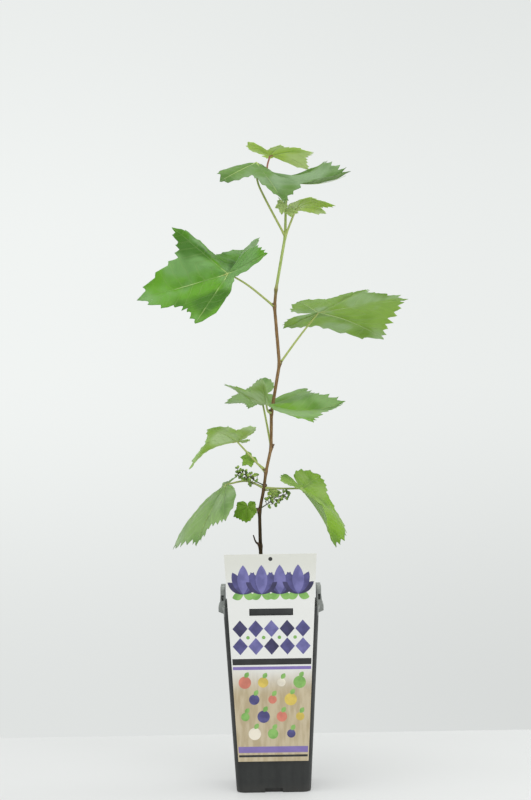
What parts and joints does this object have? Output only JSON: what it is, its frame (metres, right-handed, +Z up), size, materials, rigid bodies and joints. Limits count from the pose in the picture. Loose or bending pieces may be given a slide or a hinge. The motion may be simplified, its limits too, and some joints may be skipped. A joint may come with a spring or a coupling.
{
  "type": "potted young grapevine",
  "caption": "Young grapevine with a thin woody stem and lobed leaves, in a tall square nursery pot with a label card on its front.",
  "frame": {"origin": "middle of the pot's flat underside, on the surface that it stands on", "axes": "+Z up along the pot and the stem, -Y towards the side that carries the label card, +X to the right of one who faces that side"},
  "size_m": [0.3095, 0.1656, 0.7428],
  "materials": {
    "pot_plastic": "dark grey moulded plastic, slightly dull",
    "compost": "dark brown crumbly potting compost",
    "card_sheet": "thin printed sheet with a soft sheen",
    "stem_bark": "thin brown bark in long strips",
    "shoot_skin": "smooth green young shoot",
    "leaf_dark": "dull green leaf with a pale sheen",
    "leaf_bright": "bright green leaf, paler beneath",
    "leaf_young": "yellow-green young leaf",
    "flower_buds": "small round green flower buds on thin stalks"
  },
  "bodies": {
    "root": {"pot": "pot_plastic", "soil": "compost", "label_card": "card_sheet", "woody_stem": "stem_bark", "green_shoot": "shoot_skin", "leaf_upper_left": "leaf_dark", "leaf_upper_right": "leaf_bright", "leaf_top": "leaf_dark", "leaf_topmost": "leaf_young", "leaf_tip_right": "leaf_young", "leaf_center_front": "leaf_bright", "leaf_center_back": "leaf_dark", "leaf_mid_left": "leaf_bright", "leaf_small_left": "leaf_bright", "leaf_lower_left": "leaf_dark", "leaf_heart_small": "leaf_bright", "leaf_lower_right": "leaf_bright", "leaf_small_right": "leaf_young", "leaf_young_hanging": "leaf_young", "leaf_young_spread": "leaf_young", "leaf_young_upright": "leaf_young", "flower_cluster_left": "flower_buds", "flower_cluster_right": "flower_buds"}
  },
  "joints": []
}
